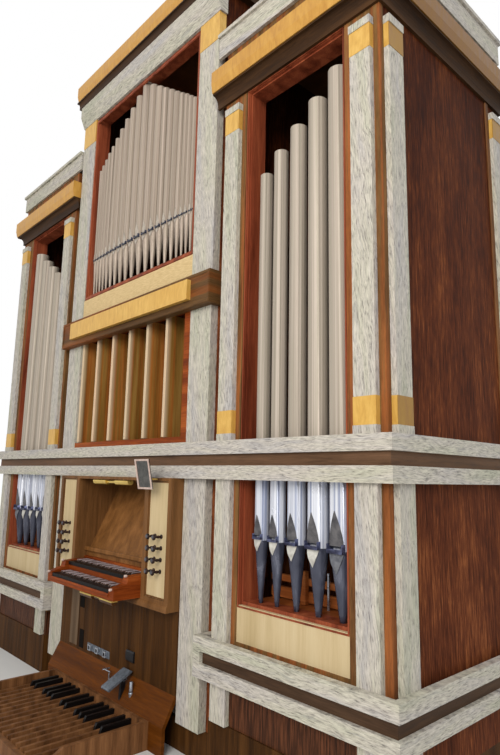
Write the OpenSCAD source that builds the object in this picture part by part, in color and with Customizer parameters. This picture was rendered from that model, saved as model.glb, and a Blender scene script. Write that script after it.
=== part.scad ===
// Pipe organ with two pipe towers, a taller centre with a flat of pipes, swell
// shutters, a recessed console with two manuals and a pedalboard.
// Millimetres. X to the right, Y to the back, Z up. In this source the front of
// the middle belt is Y = 0; place() then moves everything so that the origin is
// the middle of the footprint, on the floor.

/* [Case] */
// width of a tower
tower_w = 1150; // [1100:5:1250]
// rear face of the case
case_rear = 1360; // [1200:10:1500]
// thickness of the case boards
board = 28; // [20:1:40]
// face of the tower fronts behind the belt front
front_face = 55; // [50:1:70]
// height of the tower plinths
plinth_h = 275; // [200:5:320]
// height of the whole organ
total_h = 5015; // [4900:5:5200]
// how far the centre rises over the tower roofs
centre_rise = 650; // [600:5:700]

/* [Tower opening] */
// how far the opening's middle lies inside the tower's middle
open_shift = 11; // [0:1:20]
// width of the opening in the tower front
open_w = 740; // [700:5:780]
// sill of the opening over the lower belt
open_sill = 7; // [4:1:20]
// head of the opening below the tower roof
open_drop = 503; // [480:1:530]
// thickness of the lining boards
lining_t = 25; // [18:1:30]
// front edge of the lining behind the belt front
lining_front = 80; // [70:1:90]
// rear edge of the lining
lining_rear = 190; // [180:5:230]
// height of the pipes' board over the sill
toe_rise = 201; // [180:1:220]
// length of the shortest pipe's foot
foot_l = 329; // [300:1:350]

/* [Stiles] */
// margin between a tower's edge and the inner stile
stile_margin = 32; // [20:1:40]
// margin between a tower's corner and the outer stile
corner_margin = 39; // [30:1:50]
// width of the marbled stiles
stile_w = 122; // [100:1:140]
// thickness of the marbled stiles
stile_t = 30; // [20:1:40]
// front edge of the front side stile
side_stile_a = 88; // [80:1:120]
// margin behind the rear side stile
rear_margin = 32; // [20:1:50]
// height of the gilt blocks
gilt_h = 129; // [110:1:150]
// height of the foot block of the upper stiles
foot_block_h = 39; // [30:1:50]
// underside of the upper gilt blocks below the tower roof
gilt_drop = 744; // [700:1:770]
// height of the cap over the upper gilt blocks
cap_h = 43; // [30:1:60]

/* [Belts] */
// underside of the middle belt
belt_low = 1521; // [1500:1:1540]
// height of the middle belt
belt_h = 213; // [200:1:230]
// height of one marbled band
band_h = 75; // [60:1:90]
// depth of the recessed rail between the bands
rail_recess = 22; // [10:1:30]
// underside of the lower belt
low_belt_low = 477; // [460:1:500]
// height of the lower belt
low_belt_h = 208; // [200:1:220]
// height of the lower belt bands
low_band_h = 72; // [60:1:90]
// how far the lower belt stands in front of the middle belt
low_belt_out = 16; // [8:1:20]
// width of the closed end of the lower belt
end_cap = 58; // [40:1:80]

/* [Cornices] */
// height of the gilt tower cornice
cornice_h = 146; // [120:1:160]
// height of the brown moulding under a tower cornice
soffit_h = 90; // [70:1:100]
// underside of the gilt tower cornice below the tower roof
cornice_drop = 418; // [400:1:430]
// underside of the crown band below the tower roof
crown_drop = 145; // [130:1:160]
// height of the gilt centre cornice
centre_gilt_h = 149; // [130:1:160]
// height of the brown moulding under the centre cornice
centre_soffit_h = 71; // [60:1:80]
// projection of the gilt tower cornice from the tower front
cornice_out = 78; // [60:1:90]
// projection of the crown band
crown_out = 20; // [10:1:30]

/* [Centre] */
// gap between a centre post and a tower
post_gap = 85; // [70:1:100]
// height of the gilt block of a centre post
post_gilt_h = 203; // [180:1:220]
// top of a post's gilt block below the roof
post_drop = 413; // [400:1:430]
// how far the beam laps past a post
beam_lap = 40; // [20:1:50]
// width of a centre post
post_w = 205; // [180:1:220]
// front face of a centre post
post_face = 46; // [40:1:50]
// depth of a centre post
post_d = 54; // [40:1:80]
// foot of a centre post
post_foot = 165; // [150:1:180]
// underside of the beam
beam_low = 2566; // [2550:1:2580]
// height of the beam
beam_h = 211; // [190:1:230]
// how far the gilt plate on the beam laps onto a post
plate_lap = 56; // [40:1:70]

/* [Flat of pipes] */
// height of the flat pipes' board over the beam
flat_rise = 208; // [190:1:220]
// length of the feet of the flat pipes
flat_foot_l = 308; // [280:1:330]
// depth of the line of the flat pipes
flat_y = 97; // [90:1:110]

/* [Swell shutters] */
// number of shutters
shutters = 6; // [6:1:6]
// distance from a post to the first shutter pivot
shutter_in = 28; // [26:1:32]
// gap between two shutters when the row is closed
shutter_gap = 6; // [5:1:10]
// shutter thickness
shutter_t = 24; // [18:1:26]
// how far the shutters stand open past square
shutter_open = 4; // [0:1:6]
// underside of the shutters over the belt
shutter_sill = 47; // [40:1:60]
// top of the shutters over the beam's underside
shutter_lap = 34; // [20:1:50]
// radius of a shutter pin
shutter_pin_r = 6; // [5:0.5:8]

/* [Console] */
// gap between the console and a post
console_gap = 4; // [2:1:6]
// front face of the console
console_face = -38; // [-45:1:-30]
// width of a cheek beside the keys
cheek_w = 53; // [40:1:60]
// width of the console beside its niche
jamb_w = 292; // [280:1:310]
// rear face of the niche
niche_rear = 345; // [330:5:360]
// underside of the console case
console_low = 757; // [750:1:765]
// height of the music desk's ledge
ledge_z = 1000; // [990:1:1015]
// height of the base moulding, up to the key desk
moulding_h = 42; // [35:1:50]
// how far the key desk laps past the niche
desk_lap = 5; // [2:1:8]
// front of the key desk
desk_front = -224; // [-230:1:-210]
// depth of the lower step of a key cheek
cheek_step = 89; // [80:1:100]
// natural keys in a manual
naturals = 33; // [33:1:33]
// width of one natural key with its gap
key_pitch = 23.5; // [23:0.1:24]
// top of the lower manual
manual_1_z = 857; // [850:1:865]
// rise of the upper manual over the lower one
manual_rise = 68; // [60:1:75]
// thickness of a natural key
key_t = 22; // [18:1:24]
// front of the lower keys
manual_1_y = -221; // [-225:1:-215]
// front of the upper keys
manual_2_y = -106; // [-115:1:-100]

/* [Pedals] */
// natural pedal keys
pedal_naturals = 18; // [18:1:19]
// distance between natural pedal keys
pedal_pitch = 64; // [60:1:66]
// front of the pedalboard
pedal_front = -700; // [-720:5:-680]
// rear of the pedalboard
pedal_rear = -40; // [-45:1:-35]
// top of the natural pedal keys
pedal_z = 105; // [95:1:115]
// length of a pedal sharp
pedal_sharp_l = 206; // [180:1:220]

/* [Hidden] */
$fn = 48;
eps = 0.5;
seam = 4;                                   // gap between neighbouring boards of one kind
pin_gap = 0.06;                             // running clearance at a pin
keys_half = naturals * key_pitch / 2 + 3.25;
niche_half = keys_half + cheek_w;
console_half = niche_half + jamb_w;
desk_half = niche_half + desk_lap;
desk_low = console_low + moulding_h;
moulding_top = desk_low - 2;
manual_2_z = manual_1_z + manual_rise;
apron_z = manual_2_z + 23;
post_in = console_half + console_gap;
post_out = post_in + post_w;
tower_inner = post_out + post_gap;
tower_outer = tower_inner + tower_w;
side_stile_b = case_rear - rear_margin - stile_w;
belt_high = belt_low + belt_h;
low_belt_high = low_belt_low + low_belt_h;
open_low = low_belt_high + open_sill;
toe_z = open_low + toe_rise;
gilt_low = belt_high + foot_block_h;
beam_high = beam_low + beam_h;
flat_toe_z = beam_high + flat_rise;
flat_mouth_z = flat_toe_z + flat_foot_l;
shutter_low = belt_high + shutter_sill;
shutter_high = beam_low + shutter_lap;
tower_top = total_h - centre_rise;
open_high = tower_top - open_drop;
gilt_high = tower_top - gilt_drop;
cap_top = gilt_high + gilt_h + cap_h;
open_mid = (tower_inner + tower_outer) / 2 - open_shift;
stile_in = tower_inner + stile_margin;
stile_out = tower_outer - corner_margin - stile_w;
cornice_low = tower_top - cornice_drop;
cornice_high = cornice_low + cornice_h;
crown_low = tower_top - crown_drop;
crown_high = tower_top + 25;
plate_half = post_in + plate_lap;
shutter_first = shutter_in - post_in;
shutter_pitch = (2 * post_in - shutter_in - 42) / shutters;
shutter_w = shutter_pitch - shutter_gap;
post_gilt_top = total_h - post_drop;
post_top = post_gilt_top - post_gilt_h;
centre_gilt_low = total_h - centre_gilt_h;
beam_half = post_out + beam_lap;
low_belt_end = post_out + 13;
cornice_end = post_out + 17;
flat_top = post_gilt_top - 23;
opl = open_mid - open_w / 2;
opr = open_mid + open_w / 2;
side_plane = tower_outer;
stile_face = front_face - stile_t;
belt_back = case_rear + front_face;
post_back = post_face + post_d;
y_mid = (pedal_front + belt_back + cornice_out - front_face) / 2;

// tower pipes, from the shortest inside to the tallest outside
tower_r = [38.5, 42, 48, 53, 59];
tower_x = [for (f = [-0.3514, -0.1932, -0.0122, 0.1784, 0.3757]) open_mid + f * open_w];
tower_tops = [for (d = [574, 476, 383, 289, 183]) open_high - d];
tower_y = 128;
function tower_mouth(i) = toe_z + foot_l - 3 * i;

// flat pipes, the middle one first, then outwards
flat_r = [38, 35.5, 33, 31, 29, 27, 24.5, 22.5, 21, 19, 17.5];
flat_x = [for (f = [0, 0.1284, 0.25, 0.3608, 0.4649, 0.5635, 0.6514, 0.727, 0.796, 0.8622, 0.9203]) f * post_in];
flat_steps = [0, 67, 128, 184, 236, 288, 333, 369, 408, 442, 473];

module place() { translate([0, -y_mid, 0]) children(); }
module slab(x0, x1, y0, y1, z0, z1) {
    translate([x0, y0, z0]) cube([x1 - x0, y1 - y0, z1 - z0]);
}
module both() { children(); mirror([1, 0, 0]) children(); }

// outline in Y and Z, extruded along X between two places
module along_x(x0, x1, pts) {
    translate([x0, 0, 0]) rotate([90, 0, 90]) linear_extrude(height = x1 - x0) polygon(pts);
}

// band round the outer sides of a tower: front, side and rear
module tower_band(out, z0, z1, x_end) {
    difference() {
        slab(x_end, side_plane + out, front_face - out, case_rear + out, z0, z1);
        slab(x_end - 1, side_plane, front_face, case_rear, z0 - 1, z1 + 1);
    }
}

// moulding round three sides, from x_in round the corner at x_out and along the
// rear; the profile's points are (distance out, height)
module ring(x_in, x_out, y_front, y_rear, pts) {
    far = 200;
    module front_run(x0, x1) translate([x0, 0, 0]) rotate([90, 0, 90])
        linear_extrude(height = x1 - x0) polygon([for (p = pts) [y_front - p[0], p[1]]]);
    module rear_run(x0, x1) translate([x0, 0, 0]) rotate([90, 0, 90])
        linear_extrude(height = x1 - x0) polygon([for (p = pts) [y_rear + p[0], p[1]]]);
    module side_run(y0, y1) translate([x_out, y1, 0]) rotate([90, 0, 0])
        linear_extrude(height = y1 - y0) polygon(pts);
    front_run(x_in, x_out);
    rear_run(x_in, x_out);
    side_run(y_front, y_rear);
    intersection() {
        front_run(x_out, x_out + far);
        side_run(y_front - far, y_front);
    }
    intersection() {
        rear_run(x_out, x_out + far);
        side_run(y_rear, y_rear + far);
    }
}

// fillet, hollow and fillet under a cornice, from height z0 to z1
function hollow_profile(first, last, z0, z1) = concat(
    [[0, z0], [first, z0]],
    [for (a = [0 : 15 : 90]) [last - (last - first) * cos(a), z0 + 18 + (z1 - z0 - 30) * sin(a)]],
    [[last + 6, z1 - 12], [last + 6, z1], [0, z1]]);

// gilt face with a crease: upright above, leaning in below
function creased_profile(out, z0, z1) =
    [[0, z0], [out - 10, z0], [out, z0 + (z1 - z0) * 0.4], [out, z1 - 4], [out - 4, z1], [0, z1]];

module base_plinth() {
    color([0.2, 0.13, 0.09]) {
        both() difference() {
            slab(tower_inner, side_plane, front_face - 10, case_rear, 0, plinth_h);
            slab(tower_inner + board, side_plane - board, front_face - 10 + board, case_rear - board, -1, plinth_h + 1);
        }
        slab(-tower_inner + seam, tower_inner - seam, post_back - 10, post_back - 10 + board, 0, post_foot);
    }
}

module tower_fronts() {
    color([0.4, 0.25, 0.15]) both() difference() {
        slab(tower_inner, side_plane, front_face, front_face + 30, plinth_h, crown_low);
        slab(opl, opr, front_face - 1, front_face + 31, open_low, open_high);
    }
}

module side_walls() {
    color([0.32, 0.18, 0.13]) both() {
        slab(side_plane - board, side_plane, front_face + 30, case_rear - board, plinth_h, tower_top - board);
        slab(tower_inner, tower_inner + board, front_face + 30, case_rear - board, plinth_h, tower_top - board);
        slab(post_out, tower_inner - eps, post_back, post_back + board, post_foot, tower_top - board);
        slab(post_out - board, post_out, post_back, case_rear - board, tower_top - board, total_h - board);
    }
}

module back_wall() {
    color([0.35, 0.21, 0.13]) {
        slab(-side_plane, side_plane, case_rear - board, case_rear, plinth_h, tower_top - board);
        slab(-post_out, post_out, case_rear - board, case_rear, tower_top - board, total_h - board);
    }
}

module roof() {
    color([0.35, 0.21, 0.13]) {
        both() slab(post_out, side_plane, front_face + 30, case_rear, tower_top - board, tower_top);
        slab(-post_out, post_out, post_back, case_rear, total_h - board, total_h);
    }
}

// one marbled stile, lower and upper length, standing on the plane Y = 0
module stile_pair(w) {
    slab(0, w, -stile_t, 0, plinth_h, belt_low);
    slab(0, w, -stile_t, 0, gilt_low + gilt_h, gilt_high);
    slab(-2, w + 2, -stile_t - 4, 0, belt_high, gilt_low);
    slab(-3, w + 3, -stile_t - 6, 0, gilt_high + gilt_h, cap_top);
}

module stile_gilt(w) {
    for (z = [gilt_low, gilt_high])
        slab(-1, w + 1, -stile_t - 2, 0, z, z + gilt_h);
}

module at_stiles() {
    both() {
        for (x = [stile_in, stile_out]) translate([x, front_face, 0]) children();
        for (y = [side_stile_a, side_stile_b]) translate([side_plane, y, 0]) rotate([0, 0, 90]) children();
    }
}

module stiles() { color([0.8, 0.78, 0.72]) at_stiles() stile_pair(stile_w); }

module gilt_blocks() {
    color([0.8, 0.63, 0.3]) {
        at_stiles() stile_gilt(stile_w);
        both() slab(post_in, post_out + 1, post_face - 3, post_back, post_top, post_gilt_top);
    }
}

// closed band round the whole case at the middle belt
module mid_ring(out, z0, z1) {
    difference() {
        slab(-side_plane - out, side_plane + out, front_face - out, case_rear + out, z0, z1);
        slab(-side_plane, side_plane, front_face, case_rear, z0 - 1, z1 + 1);
        slab(-tower_inner, tower_inner, post_face, case_rear, z0 - 1, z1 + 1);
    }
}

module mid_belt() {
    color([0.82, 0.8, 0.74]) {
        mid_ring(front_face, belt_low, belt_low + band_h);
        mid_ring(front_face, belt_high - band_h, belt_high);
    }
}

module mid_belt_rail() {
    color([0.38, 0.25, 0.15]) mid_ring(front_face - rail_recess, belt_low + band_h, belt_high - band_h);
}

// lower belt band: front of both towers, sides and rear
module low_ring(out, end, z0, z1) {
    difference() {
        slab(-side_plane - out, side_plane + out, front_face - out, case_rear + out, z0, z1);
        slab(-side_plane - stile_t, side_plane + stile_t, stile_face, case_rear, z0 - 1, z1 + 1);
        slab(-end, end, -200, stile_face + 1, z0 - 1, z1 + 1);
    }
}

module lower_belt() {
    color([0.82, 0.8, 0.74]) {
        low_ring(front_face + low_belt_out, low_belt_end, low_belt_low, low_belt_low + low_band_h);
        low_ring(front_face + low_belt_out, low_belt_end, low_belt_high - low_band_h, low_belt_high);
        both() slab(low_belt_end, low_belt_end + end_cap, -low_belt_out, post_back, low_belt_low, low_belt_high);
    }
}

module lower_belt_rail() {
    color([0.38, 0.25, 0.15])
        low_ring(front_face + low_belt_out - rail_recess, low_belt_end + end_cap, low_belt_low + low_band_h, low_belt_high - low_band_h);
}

module cornice_soffits() {
    color([0.36, 0.22, 0.12]) both() {
        ring(cornice_end, side_plane, front_face, case_rear, hollow_profile(16, 56, cornice_low - soffit_h, cornice_low));
        ring(0, post_out, post_face, case_rear, hollow_profile(50, 62, centre_gilt_low - centre_soffit_h, centre_gilt_low));
    }
}

module gilt_cornices() {
    color([0.82, 0.64, 0.3]) both() {
        ring(cornice_end, side_plane, front_face, case_rear, creased_profile(cornice_out, cornice_low, cornice_high));
        ring(0, post_out, post_face, case_rear, creased_profile(cornice_out - 9, centre_gilt_low, total_h));
    }
}

module tower_crowns() {
    color([0.82, 0.8, 0.74]) both() {
        tower_band(crown_out, crown_low, crown_high - 25, cornice_end);
        tower_band(crown_out + 16, crown_high - 25, crown_high, cornice_end);
    }
}

module centre_posts() {
    color([0.8, 0.78, 0.72]) both() slab(post_in, post_out, post_face, post_back, post_foot, post_top);
}

module centre_rails() {
    frieze_top = centre_gilt_low - centre_soffit_h;
    color([0.82, 0.8, 0.74]) {
        along_x(-post_out - 15, post_out + 15, [[post_face - 6, post_gilt_top], [post_back, post_gilt_top],
            [post_back, frieze_top], [0, frieze_top], [0, frieze_top - 95]]);
        slab(-post_in, post_in, post_face, post_back, beam_high, flat_toe_z - 39);
    }
}

module flat_lining() {
    color([0.42, 0.17, 0.11]) difference() {
        slab(-post_in, post_in, post_face + 14, flat_y + 65, flat_toe_z - 39, post_gilt_top);
        slab(-post_in + 38, post_in - 38, 0, flat_y + 100, flat_toe_z, post_gilt_top - 12);
    }
}

// wedge that flattens a lip, from depth 0 at height z0 to depth d at height z1
module lip_cut(r, d, z0, z1) {
    far = 3 * r;
    translate([-far, 0, 0]) rotate([90, 0, 90]) linear_extrude(height = 2 * far)
        polygon([[-far, z0], [-r, z0], [-r + d, z1], [-far, z1]]);
}

// one flue pipe standing at the origin: foot, mouth at height m, top at height h
module flue_pipe(r, m, h) {
    wall = 3;
    d = r * 0.29;                            // depth of the flattened lips
    cut = r * 0.36;                          // height of the mouth
    toe = r * 0.26;
    up = r * 2.7;                            // length of the upper lip
    down = r * 1.6;                          // length of the lower lip
    lean = atan(d / up);
    difference() {
        union() {
            cylinder(r1 = toe, r2 = r, h = m);
            translate([0, 0, m]) cylinder(r = r, h = h - m);
        }
        // bore, flattened behind the upper lip
        difference() {
            translate([0, 0, m + cut * 0.5]) cylinder(r = r - wall, h = h);
            lip_cut(r, d + wall, m + cut + up + wall, m + cut);
        }
        lip_cut(r, d, m + cut + up, m + cut);
        lip_cut(r, d, m - down, m);
        translate([-r * 0.7, -r - 2, m]) cube([r * 1.4, r * 0.75, cut]);
    }
    // pointed plate on the upper lip
    translate([0, -r + d + 1, m + cut]) rotate([90 + lean, 0, 0]) linear_extrude(height = 3)
        polygon([[-r * 0.66, 0], [r * 0.66, 0], [0, up * 0.95]]);
    // box beard round the mouth
    for (s = [-1, 1]) translate([s * r * 0.74 - 1.5, -r - r * 0.1, m - cut * 0.5]) cube([3, r * 0.6, cut * 2]);
    translate([-r * 0.74, -r - r * 0.1, m - cut * 0.5]) cube([r * 1.48, 3, cut * 0.9]);
}

module flat_pipes() {
    color([0.78, 0.75, 0.7]) for (i = [0 : len(flat_x) - 1]) for (s = i == 0 ? [1] : [-1, 1])
        translate([s * flat_x[i], flat_y, flat_toe_z]) flue_pipe(flat_r[i], flat_mouth_z - flat_toe_z, flat_top - flat_steps[i] - flat_toe_z);
}

module tower_pipes() {
    color([0.78, 0.76, 0.73]) both() for (i = [0 : len(tower_x) - 1])
        translate([tower_x[i], tower_y, toe_z]) flue_pipe(tower_r[i], tower_mouth(i) - toe_z, tower_tops[i] - toe_z);
}

module tower_linings() {
    color([0.42, 0.17, 0.11]) both() difference() {
        slab(opl, opr, lining_front, lining_rear, toe_z - 33, open_high);
        slab(opl + lining_t, opr - lining_t, lining_front - 1, lining_rear + 1, toe_z, open_high - lining_t);
    }
}

module tower_panels() {
    color([0.84, 0.76, 0.6]) both() slab(opl, opr, front_face + 5, front_face + 25, open_low, toe_z - 17);
}

module beam() {
    color([0.36, 0.22, 0.13]) {
        slab(-beam_half, beam_half, -3, post_face, beam_low, beam_high);
        both() slab(post_out, beam_half, post_face - 1, post_back, beam_low, beam_high);
    }
}

module beam_plate() {
    color([0.84, 0.66, 0.32]) slab(-plate_half, plate_half, -33, -3, beam_low + 50, beam_high - 32);
}

pivot_y = post_face + 31;                   // pivots stand clear behind the beam
frame_front = post_face + 4;
frame_rear = 150;
head_high = shutter_high + 46;
pin_reach = 20;
edge = 22;                                  // front edge of a shutter before its pivot
module shutter_frame() {
    color([0.4, 0.18, 0.11]) difference() {
        union() {
            slab(-post_in, post_in, frame_front, frame_rear, belt_high, shutter_low - 6);
            slab(-post_in, post_in, frame_front, frame_rear, shutter_high + 6, head_high);
            slab(post_in - 64, post_in, frame_front, frame_rear, belt_high, head_high);
        }
        for (i = [0 : shutters - 1]) translate([shutter_first + i * shutter_pitch, pivot_y, 0]) {
            translate([0, 0, shutter_low - pin_reach - 1]) cylinder(r = shutter_pin_r + pin_gap, h = 2 * pin_reach);
            translate([0, 0, shutter_high]) cylinder(r = shutter_pin_r + pin_gap, h = pin_reach + 1);
        }
    }
}

// shutter standing open, its pivot pins near the front edge; the front edge is
// eased and the rear edge rebated, so that a closed row laps
module shutter(i) {
    t = shutter_t / 2;
    rear = shutter_w - edge;
    lap = 12;
    color([0.62, 0.44, 0.24]) translate([shutter_first + i * shutter_pitch, pivot_y, 0]) rotate([0, 0, shutter_open]) {
        translate([0, 0, shutter_low]) linear_extrude(height = shutter_high - shutter_low)
            polygon([[-t, 4 - edge], [4 - t, -edge], [t - 4, -edge], [t, 4 - edge], [t, rear - lap], [0, rear - lap],
                [0, rear], [3 - t, rear], [-t, rear - 3]]);
        translate([0, 0, shutter_low - pin_reach]) cylinder(r = shutter_pin_r, h = shutter_high - shutter_low + 2 * pin_reach);
    }
}

jamb_in = niche_half + 43;
jamb_out = console_half - 39;
jamb_low = moulding_top + 20;
niche_head = belt_low - 19;
wall = 18;
module console_frame() {
    color([0.42, 0.26, 0.15]) {
        difference() {
            slab(-console_half, console_half, console_face, post_back, console_low, belt_low);
            // niche
            slab(-niche_half, niche_half, console_face - 1, post_back + 1, desk_low, niche_head);
            // hollow behind the jambs
            both() slab(niche_half + wall, console_half - wall, console_face + 24, post_back + 1, desk_low, niche_head);
            both() slab(jamb_in, jamb_out, console_face - 1, console_face + 25, jamb_low, niche_head);
        }
        // cheeks and back of the niche
        both() slab(niche_half, niche_half + wall, post_back, niche_rear, desk_low, niche_head);
        slab(-niche_half, niche_half, niche_rear - wall, niche_rear, desk_low, niche_head);
        slab(-niche_half - wall, niche_half + wall, post_back, niche_rear, niche_head, belt_low);
        slab(-niche_half - wall, niche_half + wall, post_back, niche_rear, console_low, desk_low);
    }
}

// moulding along the console's lower edge
module console_moulding() {
    low = console_face - 12;
    rise = moulding_top - console_low - 12;
    color([0.42, 0.26, 0.15]) along_x(-console_half, console_half, concat([[console_face, console_low], [low, console_low],
        [low, console_low + 8]], [for (a = [0 : 15 : 90]) [low + 2 + 8 * (1 - cos(a)), console_low + 8 + rise * sin(a)]],
        [[console_face, moulding_top]]));
}

module jamb_panels() {
    color([0.86, 0.77, 0.58]) both() slab(jamb_in, jamb_out, console_face + 11, console_face + 24, jamb_low, niche_head);
}

knob_x = [for (d = [-25, 40]) (jamb_in + jamb_out) / 2 + d];
knob_z = [for (i = [0 : 3]) ledge_z - 27 + 67 * i];
module drawknobs() {
    color([0.12, 0.09, 0.08]) both() for (x = knob_x) for (z = knob_z)
        translate([x, console_face + 11, z]) rotate([90, 0, 0]) rotate_extrude()
            polygon([[0, 0], [13, 0], [13, 4], [8, 7], [6.5, 10], [9, 22], [9, 28], [5.5, 40], [5.5, 44], [10, 47],
                [16.5, 51], [18, 55], [16.5, 60], [11, 64], [0, 65]]);
}

knee_face = 40;
knee_low = 300;
panel_low = 150;
module kneeboards() {
    color([0.3, 0.19, 0.11]) difference() {
        slab(-console_half, console_half, knee_face, knee_face + 20, knee_low, console_low);
        for (i = [-4 : 4]) translate([i * console_half * 0.17, knee_face, knee_low - 1]) cylinder(r = 3, h = console_low - knee_low + 2, $fn = 4);
    }
}

module pedal_panel() {
    color([0.5, 0.28, 0.1]) along_x(-console_half, console_half,
        [[pedal_rear, 0], [pedal_rear, panel_low], [knee_face, knee_low], [knee_face + 20, knee_low],
            [knee_face + 20, knee_low - 10], [pedal_rear + 20, panel_low - 7], [pedal_rear + 20, 0]]);
}

desk_lean = 0.483;                           // how far the music board leans back for each step up
module music_desk() {
    foot = 84;
    high = ledge_z + (niche_rear - wall - foot - 15) / desk_lean;
    color([0.4, 0.25, 0.14]) {
        // sloping board over the whole niche, with its ledge and apron
        along_x(-niche_half + 1, niche_half - 1, [[foot, ledge_z], [foot + 14, ledge_z],
            [foot + 14 + desk_lean * (high - ledge_z), high], [foot + desk_lean * (high - ledge_z), high]]);
        along_x(-niche_half + 1, niche_half - 1, [[44, ledge_z - 16], [foot + 14, ledge_z - 16], [foot + 14, ledge_z],
            [52, ledge_z], [52, ledge_z + 12], [44, ledge_z + 12], [41, ledge_z + 6], [41, ledge_z - 12]]);
        slab(-niche_half + 1, niche_half - 1, 62, 78, apron_z, ledge_z - 16);
    }
}

key_cheek = [[desk_front, desk_low], [desk_front, manual_1_z + 8], [desk_front + cheek_step, manual_1_z + 31],
    [desk_front + cheek_step + 9, manual_2_z + 1], [console_face, manual_2_z + 6], [console_face, desk_low]];
module key_desk() {
    bed_1 = manual_1_z - key_t;
    bed_2 = manual_2_z - key_t;
    step = manual_1_z + 11;
    back = niche_rear - wall;
    color([0.45, 0.18, 0.08]) {
        slab(-desk_half, desk_half, desk_front, console_face, desk_low, bed_1);
        slab(-niche_half, niche_half, console_face, back, desk_low, bed_1);
        both() {
            along_x(keys_half, desk_half, key_cheek);
            slab(keys_half, niche_half, console_face, 78, bed_1, manual_2_z + 6);
        }
        // rounded slip before the lower keys
        along_x(-keys_half, keys_half, concat([[desk_front, bed_1 - 12]], [for (a = [-60 : 20 : 60]) [desk_front - 6 * cos(a), bed_1 - 10 + 12 * sin(a)]],
            [[desk_front, bed_1 + 1], [desk_front + 2, bed_1 + 1], [desk_front + 2, bed_1 - 12]]));
        slab(-keys_half, keys_half, manual_2_y + 8, 78, step, bed_2);
        slab(-niche_half, niche_half, manual_2_y + 147, 78, bed_2, apron_z);
    }
}

module naturals_comb(y0, y1, z) {
    difference() {
        slab(-naturals * key_pitch / 2, naturals * key_pitch / 2, y0, y1, z - key_t, z);
        for (i = [1 : naturals - 1]) translate([(i - naturals / 2) * key_pitch - 0.5, y0 - 1, z - key_t - 1]) cube([1, y1 - y0 - 9, key_t + 2]);
    }
}

// sharps over the gaps that have one, counted from the lowest C
module sharps_row(y0, y1, z, count, pitch, w, h, nose) {
    for (i = [0 : count - 2]) if (i % 7 != 2 && i % 7 != 6)
        along_x((i + 1 - count / 2) * pitch - w / 2, (i + 1 - count / 2) * pitch + w / 2,
            [[y0, z], [y0 + nose * 0.6, z + h * 0.8], [y0 + nose, z + h], [y1, z + h], [y1, z]]);
}

module manual_naturals() {
    color([0.08, 0.07, 0.07]) {
        naturals_comb(manual_1_y, -84, manual_1_z);
        naturals_comb(manual_2_y, 34, manual_2_z);
    }
}

module manual_sharps() {
    color([0.85, 0.83, 0.78]) {
        sharps_row(manual_1_y + 50, -90, manual_1_z, naturals, key_pitch, 11, 10, 9);
        slab(-keys_half + 4, keys_half - 4, -94, -86, manual_1_z, manual_1_z + 8);
        sharps_row(manual_2_y + 50, 28, manual_2_z, naturals, key_pitch, 11, 10, 9);
        slab(-keys_half + 4, keys_half - 4, 24, 33, manual_2_z, manual_2_z + 8);
    }
}

module pedalboard() {
    half = pedal_naturals * pedal_pitch / 2;
    color([0.42, 0.25, 0.14]) {
        for (i = [0 : pedal_naturals - 1])
            slab((i + 0.5) * pedal_pitch - half - 11, (i + 0.5) * pedal_pitch - half + 11, pedal_front + 30, pedal_rear - 20, 60, pedal_z);
        both() along_x(half, half + 24, [[pedal_front, 0], [pedal_front, 96], [pedal_front + 20, 112], [pedal_front + 90, 118],
            [pedal_front + 150, panel_low], [pedal_rear, panel_low], [pedal_rear, 0]]);
        slab(-half, half, pedal_rear - 24, pedal_rear, 0, panel_low);
        slab(-half, half, pedal_front, pedal_front + 32, 0, 90);
    }
}

module pedal_sharps() {
    half = pedal_naturals * pedal_pitch / 2;
    color([0.07, 0.06, 0.06]) {
        sharps_row(pedal_rear - 24 - pedal_sharp_l, pedal_rear - 24, 60, pedal_naturals, pedal_pitch, 20, 70, 22);
        slab(16 - half, half - 16, pedal_rear - 60, pedal_rear - 40, 40, 60);
    }
}

// strip lamp along X: a thin tube between two long shades on short legs
module strip_lamp(x0, x1, leg) {
    shade = (x1 - x0) * 0.37;
    rotate([0, 90, 0]) translate([0, 0, x0]) cylinder(r = 9, h = x1 - x0);
    for (x = [x0, x1 - shade]) translate([x, 0, 0]) rotate([90, 0, 90]) linear_extrude(height = shade)
        polygon([[-22, 10], [-22, 2], [-16, -12], [-8, -17], [8, -17], [16, -12], [22, 2], [22, 10], [12, 14], [-12, 14]]);
    for (x = [x0 + shade / 2, x1 - shade / 2]) translate([x, 0, 12]) cylinder(r = 5, h = leg - 12);
}

lamp_half = 235;
module lamp() {
    color([0.85, 0.73, 0.35]) {
        translate([-9, -12, belt_low - 36]) strip_lamp(-lamp_half, lamp_half, 36 - belt_low + niche_head);
        translate([190, desk_front + 44, desk_low - 22]) strip_lamp(33 - lamp_half, lamp_half - 33, 22);
    }
}

mirror_x = (jamb_in + jamb_out) / 2 - 17;
mirror_y = console_face - 73;
mirror_tilt = 12;                            // the glass leans forward over the player
module mirror_arm() {
    color([0.8, 0.66, 0.32]) {
        translate([mirror_x, mirror_y, belt_low - 16]) cylinder(r = 7, h = 18);
        translate([mirror_x, mirror_y, belt_low]) cylinder(r = 4, h = 16);
        translate([mirror_x, mirror_y, belt_low - 9]) rotate([-90, 0, 0]) cylinder(r = 5, h = console_face - mirror_y);
    }
}

module mirror_plate() {
    color([0.6, 0.62, 0.65]) translate([mirror_x, mirror_y, belt_low + 2.3]) {
        difference() {
            union() {
                cylinder(r = 10, h = 18);
                translate([-12, -26, 14]) cube([24, 30, 14]);
            }
            translate([0, 0, -1]) cylinder(r = 4 + pin_gap, h = 16);
        }
        translate([0, -24, 20]) rotate([mirror_tilt, 0, 0]) translate([-75, -3.5, -91]) cube([150, 7, 180]);
    }
}

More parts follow.
